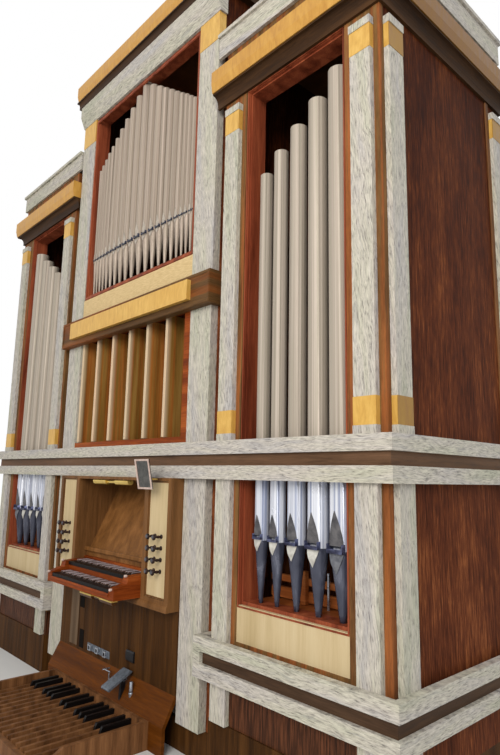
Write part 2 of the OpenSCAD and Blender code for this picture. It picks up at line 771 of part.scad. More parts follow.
pedal_x = 254;
pedal_y = -10;
pedal_h = 288;
shoe_lean = 28;
module swell_bracket() {
    color([0.25, 0.25, 0.27]) {
        // web standing on the sloping panel, with the hinge pin across it
        along_x(pedal_x - 10, pedal_x + 10, [[pedal_rear + 9, 169], [pedal_rear + 43, 233], [pedal_y + 13, pedal_h + 5], [pedal_y - 10, pedal_h + 5], [pedal_y - 12, pedal_h - 12]]);
        translate([pedal_x - 26, pedal_y, pedal_h]) rotate([0, 90, 0]) cylinder(r = 5, h = 52);
        // toe stop on the kneeboard
        along_x(pedal_x - 46, pedal_x + 46, [[knee_face, 372], [knee_face - 8, 376], [knee_face - 12, 384],
            [knee_face - 12, 432], [knee_face - 6, 440], [knee_face, 440]]);
    }
}

module swell_pedal() {
    color([0.45, 0.48, 0.5]) translate([pedal_x, pedal_y, pedal_h]) rotate([shoe_lean, 0, 0]) {
        translate([-46, 0, 0]) rotate([90, 0, 90]) linear_extrude(height = 92)
            polygon([[-126, 16], [-126, 24], [-120, 30], [46, 30], [52, 25], [52, 16]]);
        for (s = [-1, 1]) difference() {
            translate([s * 19 - 4, -14, -10]) cube([8, 28, 27]);
            translate([s * 19 - 5, 0, 0]) rotate([0, 90, 0]) cylinder(r = 5 + pin_gap, h = 10);
        }
    }
}

place() base_plinth();
place() tower_fronts();
place() side_walls();
place() back_wall();
place() roof();
place() stiles();
place() gilt_blocks();
place() mid_belt();
place() mid_belt_rail();
place() lower_belt();
place() lower_belt_rail();
place() cornice_soffits();
place() gilt_cornices();
place() tower_crowns();
place() centre_posts();
place() centre_rails();
place() flat_lining();
place() flat_pipes();
place() tower_pipes();
place() tower_linings();
place() tower_panels();
place() beam();
place() beam_plate();
place() shutter_frame();
place() shutter(0);  // shutter_1
place() shutter(1);  // shutter_2
place() shutter(2);  // shutter_3
place() shutter(3);  // shutter_4
place() shutter(4);  // shutter_5
place() shutter(5);  // shutter_6
place() console_frame();
place() console_moulding();
place() jamb_panels();
place() kneeboards();
place() pedal_panel();
place() music_desk();
place() key_desk();
place() manual_naturals();
place() manual_sharps();
place() pedalboard();
place() pedal_sharps();
place() drawknobs();
place() lamp();
place() mirror_arm();
place() mirror_plate();  // mirror
place() swell_bracket();
place() swell_pedal();
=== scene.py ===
"""Pipe organ: finishes, small parts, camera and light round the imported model."""
import math

import bpy
from mathutils import Matrix, Vector


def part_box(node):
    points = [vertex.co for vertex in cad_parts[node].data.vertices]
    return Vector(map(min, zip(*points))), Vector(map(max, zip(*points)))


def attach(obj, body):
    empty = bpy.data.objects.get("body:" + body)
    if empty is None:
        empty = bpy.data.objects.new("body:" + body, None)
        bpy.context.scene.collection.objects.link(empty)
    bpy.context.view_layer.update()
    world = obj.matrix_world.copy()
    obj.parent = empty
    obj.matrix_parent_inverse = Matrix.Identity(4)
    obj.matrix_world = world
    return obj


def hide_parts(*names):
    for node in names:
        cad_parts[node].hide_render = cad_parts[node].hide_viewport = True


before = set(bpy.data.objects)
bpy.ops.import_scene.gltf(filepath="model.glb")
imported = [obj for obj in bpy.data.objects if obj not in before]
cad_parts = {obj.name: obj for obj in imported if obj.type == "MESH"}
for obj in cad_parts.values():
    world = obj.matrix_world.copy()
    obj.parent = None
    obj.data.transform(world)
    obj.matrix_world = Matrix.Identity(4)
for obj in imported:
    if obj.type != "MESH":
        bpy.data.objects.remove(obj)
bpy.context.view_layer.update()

# Pieces are placed in millimetres, with Y counted from the middle belt's front as in the CAD source.
# Inside a finish, heights and depths are in metres, as the object coordinates are.
MM = 0.001
DEPTH_SHIFT = 369 * MM            # the belt's front lies this far in front of the shared frame's Y = 0

# places and sizes of the CAD model that the pieces here go by
OPEN_W = 740                      # width of a tower's opening
OPEN_HIGH = 3862                  # its top
LINING_T = 25                     # thickness of its lining
POST_IN = 740                     # inner side of a centre post
BEAM_LOW = 2566                   # underside and top of the beam under the flat of pipes
BEAM_HIGH = 2777
JAMB_MID = 592                    # middle of a console jamb
LEDGE_Z = 1000                    # ledge over the manuals
BELT_LOW = 1521                   # underside of the middle belt
MANUAL_RISE = 68                  # height of one manual above the other


def spot(x, y, z):
    """A place given in millimetres, with Y counted from the middle belt's front."""
    return Vector((x * MM, y * MM - DEPTH_SHIFT, z * MM))


# node helpers
def paint(r, g, b):
    """Colour given as 0 to 255 steps of a paint card, as linear light."""
    linear = []
    for c in (r, g, b):
        c = c / 255
        linear.append(c / 12.92 if c <= 0.04045 else ((c + 0.055) / 1.055) ** 2.4)
    return (*linear, 1.0)


def plug(tree, socket, value):
    """Links a socket to another one, or gives it a value."""
    if isinstance(value, bpy.types.NodeSocket):
        tree.links.new(value, socket)
    else:
        socket.default_value = value


def put(tree, kind, feeds=None, **settings):
    """Adds a node, sets it up, and feeds its sockets with values or other sockets."""
    node = tree.nodes.new("ShaderNode" + kind)
    for key, value in settings.items():
        setattr(node, key, value)
    for key, value in (feeds or {}).items():
        plug(tree, node.inputs[key], value)
    return node


def new_finish(name):
    """An empty finish, its node tree and its shader."""
    finish = bpy.data.materials.new(name)
    finish.use_nodes = True
    tree = finish.node_tree
    return finish, tree, tree.nodes["Principled BSDF"]


def coloured(finish):
    """Node tree and shader of a finish, and the colour that it has so far."""
    tree = finish.node_tree
    bsdf = tree.nodes["Principled BSDF"]
    return tree, bsdf, bsdf.inputs["Base Color"].links[0].from_socket


def place_on(tree):
    """Object coordinates, axis by axis."""
    where = put(tree, "TexCoord").outputs["Object"]
    return put(tree, "SeparateXYZ", {0: where}).outputs


def stretched(tree, scale, turn=(0, 0, 0)):
    """Object coordinates, stretched and turned."""
    where = put(tree, "TexCoord").outputs["Object"]
    return put(tree, "Mapping", {"Vector": where, "Scale": scale, "Rotation": turn}).outputs[0]


def drawn_out(way, share):
    """Stretch of a grain with its long axes stretched further."""
    return tuple(w * share if w < 1 else w for w in way)


def speckle(tree, coords, scale, detail=4.0, rough=0.55, swirl=0.0):
    """Noise between 0 and 1."""
    return put(tree, "TexNoise", {"Vector": coords, "Scale": scale, "Detail": detail,
                                  "Roughness": rough, "Distortion": swirl}).outputs["Fac"]


def tints(tree, fac, stops):
    """Colour ramp with stops given as (place, colour)."""
    node = put(tree, "ValToRGB", {"Fac": fac})
    ramp = node.color_ramp
    while len(ramp.elements) < len(stops):
        ramp.elements.new(0.5)
    for element, (place, colour) in zip(ramp.elements, stops):
        element.position = place
        element.color = colour
    return node.outputs["Color"]


def steps(tree, fac, low, high, out_low=0.0, out_high=1.0):
    """Smooth step of a value."""
    return put(tree, "MapRange", {"Value": fac, "From Min": low, "From Max": high,
                                  "To Min": out_low, "To Max": out_high},
               interpolation_type="SMOOTHSTEP").outputs[0]


def blended(tree, fac, a, b, mode="MIX"):
    """Two colours mixed by a factor."""
    node = put(tree, "Mix", data_type="RGBA", blend_type=mode)
    for index, value in ((0, fac), (6, a), (7, b)):
        plug(tree, node.inputs[index], value)
    return node.outputs[2]


def sums(tree, how, a, b):
    """Two values taken together by one operation."""
    return put(tree, "Math", {0: a, 1: b}, operation=how).outputs[0]


def relief(tree, bsdf, height, strength, distance):
    """Fine roughness of a surface, added to its shape."""
    bump = put(tree, "Bump", {"Height": height, "Strength": strength, "Distance": distance})
    tree.links.new(bump.outputs[0], bsdf.inputs["Normal"])


def feed(tree, bsdf, **sockets):
    """Feeds the finish's own sockets, named with underscores for spaces."""
    for key, value in sockets.items():
        plug(tree, bsdf.inputs[key.replace("_", " ")], value)


# grain directions: how much the pattern is stretched on each axis
UPRIGHT = (1.0, 1.0, 0.055)
LEVEL = (0.07, 0.07, 1.0)
BAND_SHARE = 0.62                 # share of a board's tone that its broad bands make

# heights and depths at which a finish changes, in metres
PANEL_UNSHADED_TOP, PANEL_SHADE_DEEPEST = 0.8, 4.1               # painted shade on the veneer deepens between these heights
HIGHLIGHT_FULL, HIGHLIGHT_GONE = 0.004, 0.045                    # painted highlight on a shutter: full this far behind its front edge, gone this far behind it
RED_LINE = 0.45                   # the front boards are dark red below it
TAN_LINE = 3.05                   # the centre rails are tan below it
TONE_EDGE = 0.002                 # half width of the line between two paints
SIDE_SHADE_SKIN = 0.003                 # how deep the painted shade on the outer sides' gilding goes
TOWER_FOOT, TOWER_REFLECTION_TOP = 1.212, 1.52             # tops of the pipes' darker feet and of their painted bluish-white reflection
REFLECTION_FADE = 0.12                 # height over which the painted reflection fades out
CAP_T, CAP_EDGE = 0.002, 0.0005                   # pale cap of a sharp, and its lower edge
LAMP_EDGE = 0.779                 # top edge of the lower strip lamp, which catches the light


# finishes
def make_wood(name, dark, mid, light, way, roughness=0.52, figure=14.0, pores=0.5, sheen=0.12,
              contrast=1.0, casts=None):
    """Board with bands of figure, fine grain and open pores along one way; casts are two tinting colours."""
    finish, tree, bsdf = new_finish(name)
    coords = stretched(tree, way)
    band = speckle(tree, coords, figure, 3.0, 0.5, 0.35)
    grain = speckle(tree, coords, figure * 9, 6.0, 0.65, 0.15)
    tone = sums(tree, "ADD", sums(tree, "MULTIPLY", band, BAND_SHARE),
                sums(tree, "MULTIPLY", grain, 1 - BAND_SHARE))
    half = 0.16 / contrast
    colour = tints(tree, tone, [(0.5 - half, dark), (0.5, mid), (0.5 + half, light)])
    if casts:
        drift = speckle(tree, stretched(tree, drawn_out(way, 0.3)), figure * 0.9, 2.0)
        cast = tints(tree, drift, [(0.44, casts[0]), (0.56, casts[1])])
        colour = blended(tree, 1.0, colour, cast, "MULTIPLY")
    open_pores = speckle(tree, stretched(tree, drawn_out(way, 0.5)), figure * 34, 2.0, 0.5)
    pitted = steps(tree, open_pores, 0.60, 0.72)
    colour = blended(tree, sums(tree, "MULTIPLY", pitted, pores), colour, dark)
    feed(tree, bsdf, Base_Color=colour, Specular_IOR_Level=sheen,
         Roughness=steps(tree, grain, 0.3, 0.7, roughness - 0.07, roughness + 0.1))
    relief(tree, bsdf, sums(tree, "SUBTRACT", grain, pitted), 0.25, 0.0008)
    return finish


def make_mahogany():
    """Dark red veneer: fine upright flecks over soft clouds, with painted shade that darkens it towards the
    top of the case.
    """
    finish, tree, bsdf = new_finish("mahogany_veneer")
    fleck = speckle(tree, stretched(tree, (1.0, 1.0, 0.06)), 210.0, 4.0, 0.65, 0.2)
    streak = speckle(tree, stretched(tree, (1.0, 1.0, 0.07)), 70.0, 4.0, 0.65, 0.4)
    cloud = speckle(tree, stretched(tree, (1.0, 1.0, 0.4)), 3.4, 4.0, 0.6, 0.5)
    tone = sums(tree, "ADD", sums(tree, "MULTIPLY", fleck, 0.42), sums(tree, "MULTIPLY", streak, 0.3))
    tone = sums(tree, "ADD", tone, sums(tree, "MULTIPLY", cloud, 0.28))
    colour = tints(tree, tone, [(0.39, paint(56, 27, 14)), (0.47, paint(87, 44, 26)),
                                (0.53, paint(112, 61, 35)), (0.61, paint(156, 94, 54))])
    # painted shade: the colour is multiplied darker with height, as if shaded under the cornice
    climb = put(tree, "MapRange", {"Value": place_on(tree)["Z"], "From Min": PANEL_UNSHADED_TOP,
                                   "From Max": PANEL_SHADE_DEEPEST}).outputs[0]
    shade = tints(tree, climb, [(0.0, (1, 1, 1, 1)), (0.5, (0.76, 0.72, 0.69, 1)),
                                (1.0, (0.36, 0.31, 0.28, 1))])
    colour = blended(tree, 1.0, colour, shade, "MULTIPLY")
    feed(tree, bsdf, Base_Color=colour, Specular_IOR_Level=0.03,
         Roughness=steps(tree, fleck, 0.3, 0.7, 0.46, 0.6))
    relief(tree, bsdf, fleck, 0.2, 0.0006)
    return finish


def make_marbled(name, way, slant=0.0, tan_line=None):
    """Off-white paint with short grey, green and rose strokes; below tan_line it is a warm tan."""
    finish, tree, bsdf = new_finish(name)
    where = stretched(tree, (1, 1, 1), (0.0, slant, 0.0))
    sway = put(tree, "TexNoise", {"Vector": where, "Scale": 4.0, "Detail": 2.0}).outputs["Color"]
    push = put(tree, "VectorMath", {0: sway, 1: (0.06, 0.06, 0.06)}, operation="MULTIPLY").outputs[0]
    bent = put(tree, "VectorMath", {0: where, 1: push}, operation="ADD").outputs[0]
    coords = put(tree, "Mapping", {"Vector": bent, "Scale": way}).outputs[0]
    strokes = speckle(tree, coords, 172.0, 5.0, 0.7, 0.15)
    wash = speckle(tree, coords, 48.0, 4.0, 0.6, 0.3)
    hue = speckle(tree, coords, 11.0, 3.0, 0.55, 0.3)
    base = tints(tree, strokes, [(0.32, paint(114, 112, 112)), (0.41, paint(160, 157, 152)),
                                 (0.49, paint(186, 183, 176)), (0.58, paint(199, 196, 189)),
                                 (0.68, paint(214, 212, 205))])
    cast = tints(tree, hue, [(0.34, paint(232, 234, 210)), (0.45, paint(252, 248, 232)),
                             (0.57, paint(250, 243, 238)), (0.68, paint(228, 225, 232))])
    colour = blended(tree, 0.7, base, cast, "MULTIPLY")
    veil = steps(tree, wash, 0.54, 0.68, 0.0, 0.28)
    colour = blended(tree, veil, colour, paint(146, 145, 148))
    if tan_line:
        low = steps(tree, place_on(tree)["Z"], tan_line + TONE_EDGE, tan_line - TONE_EDGE)
        plain = tints(tree, strokes, [(0.38, paint(196, 168, 118)), (0.6, paint(216, 190, 142))])
        colour = blended(tree, low, colour, plain)
    feed(tree, bsdf, Base_Color=colour, Specular_IOR_Level=0.2,
         Roughness=steps(tree, strokes, 0.3, 0.7, 0.5, 0.64))
    relief(tree, bsdf, strokes, 0.14, 0.0008)
    return finish


def make_shutter_oak():
    """Oak with olive and orange casts, with a painted highlight that lightens it towards the front edges."""
    finish = make_wood("oak", paint(126, 88, 46), paint(170, 126, 73), paint(196, 153, 99),
                       (1.0, 1.0, 0.03), roughness=0.45, figure=26.0, pores=0.35,
                       casts=(paint(226, 226, 190), paint(255, 214, 170)))
    tree, bsdf, colour = coloured(finish)
    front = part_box("shutter_3")[0][1]
    # painted highlight: pale cream along each shutter's rounded front edge
    edge_highlight = steps(tree, place_on(tree)["Y"], front + HIGHLIGHT_GONE, front + HIGHLIGHT_FULL, 0.0, 0.7)
    feed(tree, bsdf, Base_Color=blended(tree, edge_highlight, colour, paint(222, 202, 172)))
    return finish


def make_front_wood():
    """Brown boards with orange and olive casts, dark red below the lower belt."""
    finish = make_wood("corner_wood", paint(84, 54, 32), paint(132, 90, 56), paint(164, 112, 70),
                       (1.0, 1.0, 0.07), figure=30.0, contrast=0.9,
                       casts=(paint(216, 230, 218), paint(255, 224, 196)))
    tree, bsdf, colour = coloured(finish)
    grain = speckle(tree, stretched(tree, UPRIGHT), 120.0, 4.0, 0.6, 0.2)
    low = steps(tree, place_on(tree)["Z"], RED_LINE + 0.01, RED_LINE - 0.01)
    red = tints(tree, grain, [(0.36, paint(44, 24, 14)), (0.5, paint(70, 40, 24)),
                              (0.64, paint(98, 58, 36))])
    feed(tree, bsdf, Base_Color=blended(tree, low, colour, red))
    return finish


def make_gilding(name, node, tint_and_shade, side_shade, mitred=False):
    """Ochre gold paint with soft brush marks, with painted shade on the outer sides of the case.

    Mitred, the painted shade covers it where the outer side is nearer than the front or the rear.
    """
    finish, tree, bsdf = new_finish(name)
    brush = speckle(tree, stretched(tree, (1.0, 1.0, 0.25)), 40.0, 5.0, 0.6, 0.4)
    patch = speckle(tree, stretched(tree, (1.0, 1.0, 1.0)), 6.0, 3.0, 0.5)
    colour = tints(tree, brush, [(0.32, paint(197, 149, 66)), (0.5, paint(211, 166, 80)),
                                 (0.7, paint(222, 181, 98))])
    colour = blended(tree, steps(tree, patch, 0.45, 0.65, 0.0, 0.3), colour, paint(203, 154, 66))
    # a warm tint; on the cornices it is also painted shade, darker high on the case
    colour = blended(tree, 1.0, colour, tint_and_shade, "MULTIPLY")
    low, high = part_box(node)
    where = place_on(tree)
    inside = sums(tree, "SUBTRACT", high[0], sums(tree, "ABSOLUTE", where["X"], 0.0))
    from_end = SIDE_SHADE_SKIN
    if mitred:
        from_end = sums(tree, "MINIMUM", sums(tree, "SUBTRACT", where["Y"], low[1]),
                        sums(tree, "SUBTRACT", high[1], where["Y"]))
    # painted shade: the gold is darkened on the outer side faces of the case
    outer = steps(tree, sums(tree, "SUBTRACT", from_end, inside), -0.001, 0.001)
    colour = blended(tree, outer, colour, blended(tree, 1.0, colour, side_shade, "MULTIPLY"))
    feed(tree, bsdf, Base_Color=colour, Metallic=0.15,
         Roughness=steps(tree, brush, 0.3, 0.7, 0.36, 0.5))
    relief(tree, bsdf, brush, 0.12, 0.0006)
    return finish


def make_pipe_metal(name, tone, foot_line=None, reflection_line=None):
    """Planed tin with soft upright streaks, partly planing marks and partly painted reflection; it can have
    a darker foot and a length of painted bluish-white reflection above it.
    """
    finish, tree, bsdf = new_finish(name)
    # streaks: planing marks, and painted reflection of the warm surroundings
    streak = speckle(tree, stretched(tree, (1.0, 1.0, 0.003)), 90.0, 2.0, 0.5)
    cloud = speckle(tree, stretched(tree, (1.0, 1.0, 0.35)), 14.0, 4.0, 0.6, 0.4)
    colour = tints(tree, streak, [(0.37, paint(158, 148, 132)), (0.46, paint(180, 166, 152)),
                                  (0.53, paint(169, 160, 142)), (0.63, paint(192, 179, 164))])
    colour = blended(tree, 1.0, colour, tone, "MULTIPLY")
    height = place_on(tree)["Z"]
    rough = steps(tree, cloud, 0.3, 0.7, 0.5, 0.58)
    if reflection_line:
        # painted reflection: bluish white on the tower pipes' length below this height
        bright = steps(tree, height, reflection_line + REFLECTION_FADE, reflection_line)
        colour = blended(tree, bright, colour, tints(tree, streak, [
            (0.38, paint(160, 168, 194)), (0.47, paint(208, 212, 224)), (0.66, paint(236, 239, 248))]))
        rough = sums(tree, "SUBTRACT", rough, sums(tree, "MULTIPLY", bright, 0.3))
    if foot_line:
        foot = steps(tree, height, foot_line, foot_line - 2 * TONE_EDGE)
        dull = tints(tree, cloud, [(0.3, paint(50, 52, 66)), (0.55, paint(72, 75, 90)),
                                   (0.75, paint(112, 115, 130))])
        colour = blended(tree, foot, colour, dull)
    feed(tree, bsdf, Base_Color=colour, Metallic=0.22, Roughness=rough, Specular_IOR_Level=0.4)
    relief(tree, bsdf, cloud, 0.05, 0.0004)
    return finish


def make_plain_metal(name, dark, light, roughness=0.32, metallic=0.9, scale=60.0):
    """Metal with slight clouding and handling marks."""
    finish, tree, bsdf = new_finish(name)
    cloud = speckle(tree, stretched(tree, (1, 1, 1)), scale, 5.0, 0.6, 0.3)
    feed(tree, bsdf, Base_Color=tints(tree, cloud, [(0.35, dark), (0.65, light)]), Metallic=metallic,
         Roughness=steps(tree, cloud, 0.3, 0.7, roughness - 0.06, roughness + 0.1))
    relief(tree, bsdf, cloud, 0.05, 0.0003)
    return finish


def make_smooth(name, dark, light, roughness, way=(1, 1, 1), scale=50.0, sheen=0.5):
    """Even, close-grained surface, such as ebony, bone or black paint."""
    finish, tree, bsdf = new_finish(name)
    grain = speckle(tree, stretched(tree, way), scale, 5.0, 0.6, 0.2)
    feed(tree, bsdf, Base_Color=tints(tree, grain, [(0.35, dark), (0.65, light)]), Specular_IOR_Level=sheen,
         Roughness=steps(tree, grain, 0.3, 0.7, roughness - 0.05, roughness + 0.08))
    relief(tree, bsdf, grain, 0.08, 0.0003)
    return finish


def make_key_caps():
    """Sharps of dark wood under pale caps, on both manuals."""
    finish, tree, bsdf = new_finish("key_caps")
    grain = speckle(tree, stretched(tree, (1, 0.1, 1)), 80.0, 5.0, 0.6, 0.2)
    pale = tints(tree, grain, [(0.35, paint(150, 137, 140)), (0.65, paint(188, 174, 176))])
    wood = tints(tree, grain, [(0.35, paint(58, 42, 36)), (0.65, paint(96, 72, 60))])
    height = place_on(tree)["Z"]
    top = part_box("manual_sharps")[1][2]
    upper = steps(tree, height, top - CAP_T - CAP_EDGE, top - CAP_T)
    below = top - MANUAL_RISE * MM
    over = below + CAP_T
    lower = sums(tree, "MULTIPLY", steps(tree, height, below - CAP_T - CAP_EDGE, below - CAP_T),
                 steps(tree, height, over + 2 * CAP_EDGE, over + CAP_EDGE))
    feed(tree, bsdf, Base_Color=blended(tree, sums(tree, "MAXIMUM", upper, lower), wood, pale),
         Specular_IOR_Level=0.2, Roughness=steps(tree, grain, 0.3, 0.7, 0.36, 0.48))
    relief(tree, bsdf, grain, 0.08, 0.0003)
    return finish


BRASS_TONES = (paint(214, 180, 92), paint(232, 202, 116))


def make_lamp_brass():
    """Pale polished brass; the lower lamp hangs in shadow and only its top edge is bright."""
    finish = make_plain_metal("brass", *BRASS_TONES, 0.3, 0.6, 9.0)
    tree, bsdf, colour = coloured(finish)
    shaded = steps(tree, place_on(tree)["Z"], LAMP_EDGE + 0.001, LAMP_EDGE - 0.001)
    feed(tree, bsdf, Base_Color=blended(tree, shaded, colour, paint(92, 58, 30)))
    return finish


def make_mirror_glass():
    """Silvered glass with a faint, cloudy haze."""
    finish, tree, bsdf = new_finish("looking_glass")
    haze = speckle(tree, stretched(tree, (1, 1, 1)), 30.0, 4.0, 0.6)
    feed(tree, bsdf, Base_Color=tints(tree, haze, [(0.3, paint(96, 95, 94)), (0.7, paint(138, 136, 132))]),
         Metallic=1.0, Roughness=steps(tree, haze, 0.45, 0.8, 0.02, 0.12))
    return finish


# the finishes themselves
brown_upright = make_wood("brown_wood_upright", paint(72, 44, 24), paint(112, 74, 44), paint(142, 98, 62),
                          UPRIGHT, figure=18.0)
brown_level = make_wood("brown_wood_level", paint(74, 48, 27), paint(110, 76, 47), paint(138, 98, 62),
                        LEVEL, figure=16.0, casts=(paint(222, 230, 220), paint(255, 216, 176)))
dark_level = make_wood("dark_wood_level", paint(64, 44, 28), paint(98, 72, 52), paint(116, 86, 64),
                       LEVEL, figure=14.0)
dark_upright = make_wood("dark_wood_upright", paint(40, 23, 8), paint(68, 42, 18), paint(90, 58, 27),
                         UPRIGHT, figure=20.0, sheen=0.06)
panel_finish = make_mahogany()
red_upright = make_wood("red_wood_upright", paint(88, 38, 22), paint(136, 66, 42), paint(166, 90, 58),
                        UPRIGHT, roughness=0.42, figure=16.0)
red_level = make_wood("red_wood_level", paint(84, 32, 8), paint(132, 60, 20), paint(166, 88, 38), LEVEL,
                      roughness=0.42, figure=13.0, sheen=0.07)
oak_finish = make_shutter_oak()
oak_orange = make_wood("oak_orange", paint(58, 27, 4), paint(86, 45, 9), paint(112, 62, 18), LEVEL,
                       roughness=0.5, figure=12.0, pores=0.4, sheen=0.06)
# painted shade: darker brown for the soffits under the cornices
soffit_shade_wood = make_wood("soffit_shade_wood", paint(35, 21, 11), paint(56, 36, 19), paint(78, 52, 29),
                        LEVEL, figure=16.0)
low_rail_wood = make_wood("low_rail_wood", paint(50, 35, 24), paint(75, 55, 40), paint(95, 72, 53), LEVEL)
desk_finish = make_wood("music_desk_wood", paint(82, 51, 24), paint(125, 83, 43), paint(154, 106, 61),
                        UPRIGHT, roughness=0.5, figure=18.0, contrast=0.75)
knee_pale = make_wood("knee_board_wood", paint(62, 46, 32), paint(94, 74, 54), paint(118, 96, 74),
                      UPRIGHT, figure=18.0, contrast=0.75)
niche_finish = make_wood("niche_wood", paint(72, 46, 24), paint(112, 76, 42), paint(140, 98, 60),
                         UPRIGHT, roughness=0.5, figure=18.0, contrast=0.75)
cream_finish = make_wood("cream_wood", paint(182, 160, 119), paint(199, 178, 139), paint(210, 192, 155),
                         UPRIGHT, roughness=0.5, figure=9.0, pores=0.1, contrast=0.8)
marbled_upright = make_marbled("marbled_paint_upright", (1.0, 1.0, 0.085), 0.1)
marbled_level = make_marbled("marbled_paint_level", (0.12, 0.12, 1.0))
marbled_rails = make_marbled("marbled_paint_rails", (0.12, 0.12, 1.0), tan_line=TAN_LINE)
# the last colour of each is the painted shade of the outer sides; the cornices are also tinted darker as
# painted shade
gilding = make_gilding("gilding", "gilt_blocks", paint(255, 255, 255), paint(186, 176, 140))
cornice_gilding = make_gilding("cornice_gilding", "gilt_cornices", paint(236, 222, 196),
                               paint(164, 152, 110), mitred=True)
front_wood = make_front_wood()
rack_wood = make_wood("rack_wood", paint(110, 56, 24), paint(150, 84, 40), paint(182, 112, 62),
                      LEVEL, figure=12.0)
tower_metal = make_pipe_metal("pipe_metal_towers", paint(248, 248, 250), TOWER_FOOT, TOWER_REFLECTION_TOP)
flat_metal = make_pipe_metal("pipe_metal_flat", paint(242, 236, 236))
lip_dark = make_plain_metal("pipe_lip_dark", paint(64, 63, 68), paint(108, 106, 108), 0.45, 0.3, 22.0)
lip_bright = make_plain_metal("pipe_lip_bright", paint(176, 173, 165), paint(212, 209, 200), 0.4, 0.35, 30.0)
beard_metal = make_plain_metal("pipe_beard", paint(58, 62, 92), paint(98, 103, 134), 0.34, 0.6, 40.0)
dark_beard = make_plain_metal("flat_pipe_beard", paint(30, 32, 46), paint(58, 61, 82), 0.4, 0.3, 40.0)
flat_lip = make_plain_metal("flat_pipe_lip", paint(160, 150, 138), paint(192, 181, 167), 0.5, 0.25, 40.0)
foot_grey = make_plain_metal("pipe_foot_grey", paint(82, 84, 92), paint(124, 126, 132), 0.45, 0.3, 26.0)
steel = make_plain_metal("steel", paint(150, 156, 166), paint(196, 202, 212), 0.3, 0.8, 50.0)
lamp_brass = make_lamp_brass()
brass = make_plain_metal("arm_brass", *BRASS_TONES, 0.3, 0.6, 9.0)
grey_metal = make_plain_metal("grey_metal", paint(92, 100, 110), paint(126, 134, 144), 0.42, 0.5)
black_metal = make_plain_metal("black_metal", paint(16, 16, 18), paint(34, 34, 38), 0.4, 0.4)
ebony = make_smooth("ebony", paint(9, 8, 8), paint(25, 21, 20), 0.36, (1, 0.06, 1), 90.0, sheen=0.14)
ebony_turned = make_smooth("ebony_turned", paint(16, 6, 4), paint(50, 20, 12), 0.3, (1, 1, 0.3), 60.0,
                           sheen=0.3)
key_caps = make_key_caps()
# painted shade: near black for the kneeboard slots, which are thin plates on the board
slot_shadow = make_smooth("slot_shadow", paint(12, 9, 7), paint(24, 18, 14), 0.7, sheen=0.05)
# drawknob faces: grey label discs, their grey partly a painted highlight
grey_face_highlight = make_smooth("stop_face_highlight", paint(60, 59, 64), paint(96, 95, 101), 0.34, sheen=0.3)
pale_button = make_smooth("pale_button", paint(188, 164, 153), paint(210, 189, 178), 0.4)
looking_glass = make_mirror_glass()

CAD_FINISH = {
    "base_plinth": dark_upright, "tower_fronts": front_wood, "side_walls": panel_finish,
    "back_wall": panel_finish, "roof": brown_level, "stiles": marbled_upright, "gilt_blocks": gilding,
    "mid_belt": marbled_level, "mid_belt_rail": dark_level, "lower_belt": marbled_level,
    "lower_belt_rail": low_rail_wood, "cornice_soffits": soffit_shade_wood, "gilt_cornices": cornice_gilding,
    "tower_crowns": marbled_level, "centre_posts": marbled_upright, "centre_rails": marbled_rails,
    "flat_lining": red_upright, "flat_pipes": flat_metal, "tower_pipes": tower_metal,
    "tower_linings": red_upright, "tower_panels": cream_finish, "beam": brown_level, "beam_plate": gilding,
    "shutter_frame": red_level, "console_frame": niche_finish, "console_moulding": niche_finish,
    "jamb_panels": cream_finish, "kneeboards": dark_upright, "pedal_panel": oak_orange,
    "music_desk": desk_finish, "key_desk": red_level, "manual_naturals": ebony, "manual_sharps": key_caps,
    "pedalboard": brown_upright, "pedal_sharps": ebony, "drawknobs": ebony_turned, "lamp": lamp_brass,
    "mirror_arm": brass, "mirror": looking_glass, "swell_bracket": black_metal, "swell_pedal": grey_metal,
}
for number in range(1, 7):
    CAD_FINISH["shutter_%d" % number] = oak_finish
for node_name, finish in CAD_FINISH.items():
    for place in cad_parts[node_name].material_slots:
        place.material = finish


# modelling helpers
PRIMITIVES = {"cube": bpy.ops.mesh.primitive_cube_add, "plane": bpy.ops.mesh.primitive_plane_add,
              "cylinder": bpy.ops.mesh.primitive_cylinder_add, "circle": bpy.ops.mesh.primitive_circle_add}


def only(piece):
    """Makes a piece the whole selection."""
    bpy.ops.object.select_all(action="DESELECT")
    piece.select_set(True)
    bpy.context.view_layer.objects.active = piece


def add(kind, name, place, turn=(0, 0, 0), **sizes):
    """Adds a primitive, alone in the selection, at a place in millimetres."""
    bpy.ops.object.select_all(action="DESELECT")
    PRIMITIVES[kind](location=spot(*place), rotation=turn, **sizes)
    piece = bpy.context.object
    piece.name = piece.data.name = name
    return piece


def settle(piece):
    """Puts a piece's place, turn and scale into its mesh."""
    only(piece)
    bpy.ops.object.transform_apply(location=True, rotation=True, scale=True)


def open_up(piece, kind="FACE", everything=True):
    """Opens a piece in edit mode with all or nothing selected."""
    only(piece)
    bpy.ops.object.mode_set(mode="EDIT")
    bpy.ops.mesh.select_mode(type=kind)
    bpy.ops.mesh.select_all(action="SELECT" if everything else "DESELECT")


def close_up(smooth=None):
    """Turns the normals outward, leaves edit mode, and shades smooth below an angle in degrees."""
    bpy.ops.mesh.select_all(action="SELECT")
    bpy.ops.mesh.normals_make_consistent(inside=False)
    bpy.ops.object.mode_set(mode="OBJECT")
    if smooth:
        bpy.ops.object.shade_smooth_by_angle(angle=math.radians(smooth))


def pick_faces(piece, rule):
    """Selects in edit mode the faces that a rule picks by place or normal."""
    bpy.ops.object.mode_set(mode="OBJECT")
    for face in piece.data.polygons:
        face.select = rule(face)
    bpy.ops.object.mode_set(mode="EDIT")


